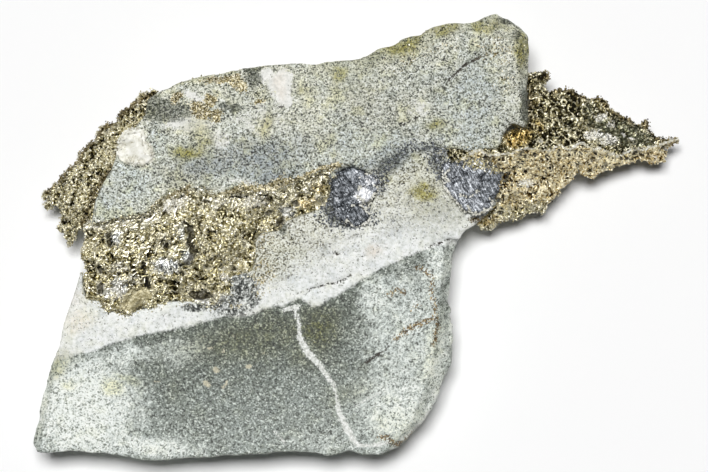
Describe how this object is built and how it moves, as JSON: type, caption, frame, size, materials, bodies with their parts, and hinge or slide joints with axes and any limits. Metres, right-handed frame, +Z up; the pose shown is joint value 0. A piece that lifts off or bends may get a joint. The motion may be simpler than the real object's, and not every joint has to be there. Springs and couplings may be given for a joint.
{
  "type": "native silver specimen",
  "caption": "Flat slab of grey vein rock with a sawn face, crumpled native silver standing out along one edge, galena and calcite.",
  "frame": {"origin": "under the middle of the bounding box, on the flat back the slab lies on", "axes": "+X along the longest side, from the left silver spray to the tip of the right silver sheet; +Y from the grey host rock to the vein block; +Z up, out of the sawn face"},
  "size_m": [0.0924, 0.0636, 0.0158],
  "materials": {
    "stone": "matte",
    "silver": "satin",
    "galena": "satin",
    "calcite": "satin"
  },
  "bodies": {
    "root": {"matrix": "stone", "silver_front_crust": "silver", "silver_left_spray": "silver", "silver_right_sheet": "silver", "galena_right": "galena", "galena_middle": "galena", "calcite_grain": "calcite"}
  },
  "joints": []
}
